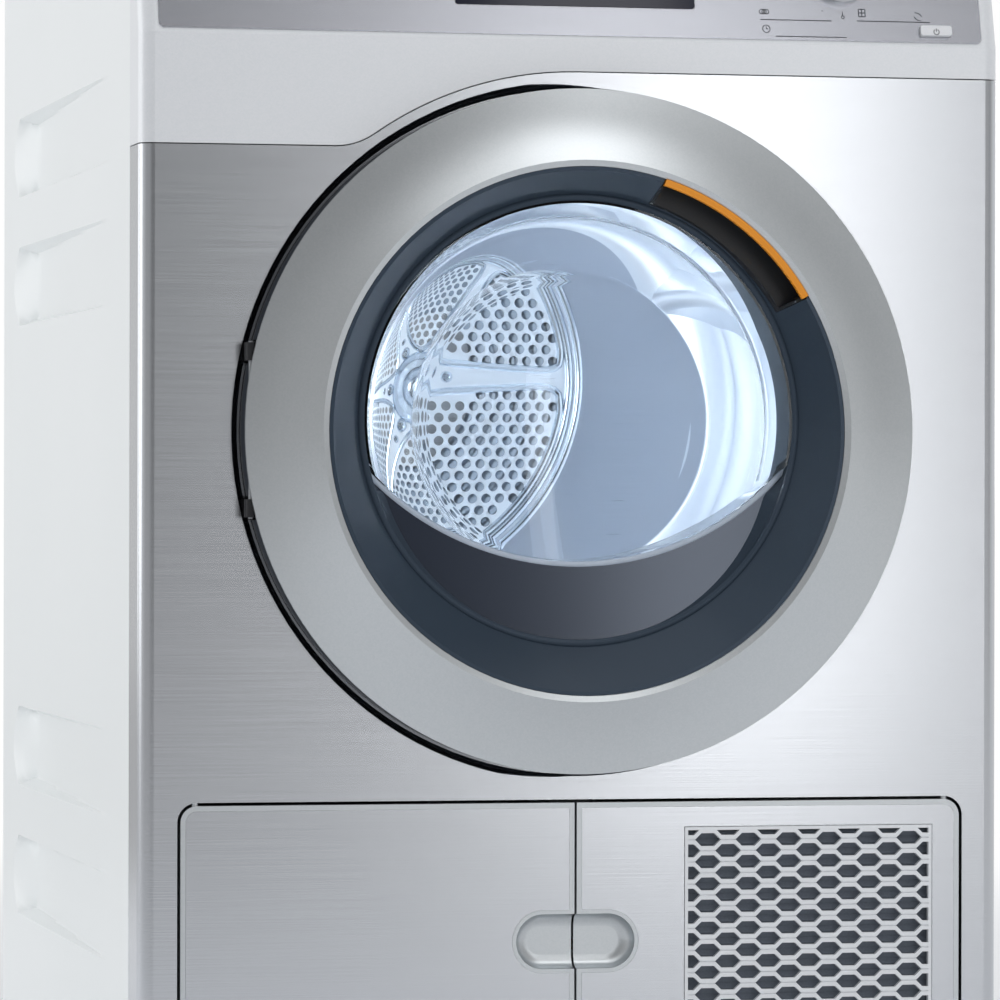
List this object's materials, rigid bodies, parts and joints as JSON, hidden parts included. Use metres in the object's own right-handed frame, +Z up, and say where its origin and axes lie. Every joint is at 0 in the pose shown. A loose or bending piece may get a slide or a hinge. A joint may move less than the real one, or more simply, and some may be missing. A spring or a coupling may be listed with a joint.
{
  "type": "heat pump dryer",
  "caption": "Free-standing heat pump tumble dryer with a round window door hinged on the left, service flaps with an air grille, a tilted control fascia and a belt-driven drum.",
  "frame": {"origin": "centre of the bounding box's bottom, on the floor under the feet", "axes": "+X to the machine's right as seen from the front, +Y to its back, +Z up; the door faces -Y"},
  "size_m": [0.595, 0.776, 0.85],
  "materials": {
    "steel_front": "fine brushed",
    "white_sheet": "powder coated",
    "zinc_sheet": "galvanised",
    "white_board": "laminated board, white",
    "silver_plastic": "satin silver",
    "grey_plate": "brushed",
    "display": "tinted",
    "dark_plastic": "fine grain",
    "gloss_dark": "gloss",
    "black_plastic": "fine grain",
    "grey_plastic": "moulded",
    "orange_plastic": "satin",
    "window_glass": "clear",
    "drum_steel": "bright",
    "bare_steel": "machined",
    "aluminium_fins": "thin fins",
    "copper_pipe": "copper",
    "iron_motor": "painted",
    "black_shell": "black paint",
    "rubber": "matt",
    "felt": "felt",
    "filter_mesh": "fine mesh",
    "white_plastic": "satin"
  },
  "bodies": {
    "cabinet": {"base_tray": "grey_plastic", "feet": "rubber", "side_panel_left": "white_sheet", "side_panel_right": "white_sheet", "front_panel": "steel_front", "rear_panel": "zinc_sheet", "rear_cover": "zinc_sheet", "lid": "white_board", "fascia": "silver_plastic", "control_plate": "grey_plate", "display_window": "display", "control_board": "black_plastic", "loading_port": "dark_plastic", "door_seal": "rubber", "door_hinge_bracket": "bare_steel", "door_lock": "black_plastic", "flap_fittings": "black_plastic", "front_shield": "zinc_sheet", "drum_felts": "felt", "rear_bulkhead": "zinc_sheet", "drum_bearing": "bare_steel", "drive_motor": "iron_motor", "fan_scroll": "grey_plastic", "drive_belt": "rubber", "idler_post": "bare_steel", "exchanger_channel": "grey_plastic", "evaporator": "aluminium_fins", "condenser": "aluminium_fins", "compressor": "black_shell", "refrigerant_pipes": "copper_pipe", "cooling_fan_frame": "black_plastic", "condensate_pump": "black_plastic", "rear_connections": "grey_plastic"},
    "door": {"door_ring": "silver_plastic", "window_surround": "gloss_dark", "door_frame": "dark_plastic", "door_glass": "window_glass", "window_apron": "gloss_dark", "lint_filter": "filter_mesh", "grip_cup": "black_plastic", "grip_strip": "orange_plastic", "hinge_pin": "bare_steel"},
    "flap_left": {"left_flap": "silver_plastic", "left_flap_skin": "steel_front"},
    "flap_right": {"right_flap": "silver_plastic", "right_flap_skin": "steel_front", "air_grille": "silver_plastic"},
    "drum": {"drum_shell": "drum_steel", "drum_back": "drum_steel", "drum_lifters": "drum_steel", "drum_shaft": "bare_steel"},
    "roller_left": {"roller_left": "rubber"},
    "roller_right": {"roller_right": "rubber"},
    "rotor": {"motor_rotor": "bare_steel", "fan_wheel": "black_plastic"},
    "idler": {"idler_pulley": "black_plastic"},
    "fan": {"cooling_fan": "black_plastic"},
    "selector": {"selector_knob": "white_plastic"},
    "power": {"power_button": "white_plastic"},
    "start": {"start_button": "white_plastic"}
  },
  "joints": [
    {"name": "door_hinge", "type": "hinge", "parent": "cabinet", "child": "door", "pos_m": [-0.224, -0.359, 0.465], "axis": [0, 0, -1], "range_deg": [0, 150]},
    {"name": "left_flap_hinge", "type": "hinge", "parent": "cabinet", "child": "flap_left", "pos_m": [-0.2595, -0.344, 0.1215], "axis": [0, 0, -1], "range_deg": [0, 110]},
    {"name": "right_flap_hinge", "type": "hinge", "parent": "cabinet", "child": "flap_right", "pos_m": [0.2595, -0.344, 0.1215], "axis": [0, 0, 1], "range_deg": [0, 110]},
    {"name": "drum_spin", "type": "hinge", "parent": "cabinet", "child": "drum", "pos_m": [0, -0.272, 0.51], "axis": [0, 1, 0], "continuous": true},
    {"name": "motor_spin", "type": "hinge", "parent": "cabinet", "child": "rotor", "pos_m": [-0.03, 0.16, 0.1245], "axis": [0, 1, 0], "continuous": true},
    {"name": "left_roller_spin", "type": "hinge", "parent": "cabinet", "child": "roller_left", "pos_m": [-0.18735, -0.264, 0.27021], "axis": [0, 1, 0], "continuous": true},
    {"name": "right_roller_spin", "type": "hinge", "parent": "cabinet", "child": "roller_right", "pos_m": [0.18735, -0.264, 0.27021], "axis": [0, 1, 0], "continuous": true},
    {"name": "idler_spin", "type": "hinge", "parent": "cabinet", "child": "idler", "pos_m": [0.07134, 0.138, 0.17563], "axis": [0, 1, 0], "continuous": true},
    {"name": "cooling_fan_spin", "type": "hinge", "parent": "cabinet", "child": "fan", "pos_m": [0.16315, -0.296, 0.1215], "axis": [0, 1, 0], "continuous": true},
    {"name": "selector_turn", "type": "hinge", "parent": "cabinet", "child": "selector", "pos_m": [0.188, -0.33408, 0.78097], "axis": [0, 0.9659, -0.2588], "continuous": true},
    {"name": "power_press", "type": "slide", "parent": "cabinet", "child": "power", "axis": [0, 0.9659, -0.2588], "range_m": [0, 0.0015], "stiffness_N_per_m": 300, "springref_m": -0.002},
    {"name": "start_press", "type": "slide", "parent": "cabinet", "child": "start", "axis": [0, 0.9659, -0.2588], "range_m": [0, 0.0015], "stiffness_N_per_m": 300, "springref_m": -0.002}
  ],
  "couplings": [
    {"joint": "motor_spin", "follows": "drum_spin", "ratio": 31.111},
    {"joint": "left_roller_spin", "follows": "drum_spin", "ratio": -11.667},
    {"joint": "right_roller_spin", "follows": "drum_spin", "ratio": -11.667},
    {"joint": "idler_spin", "follows": "drum_spin", "ratio": -17.5}
  ]
}
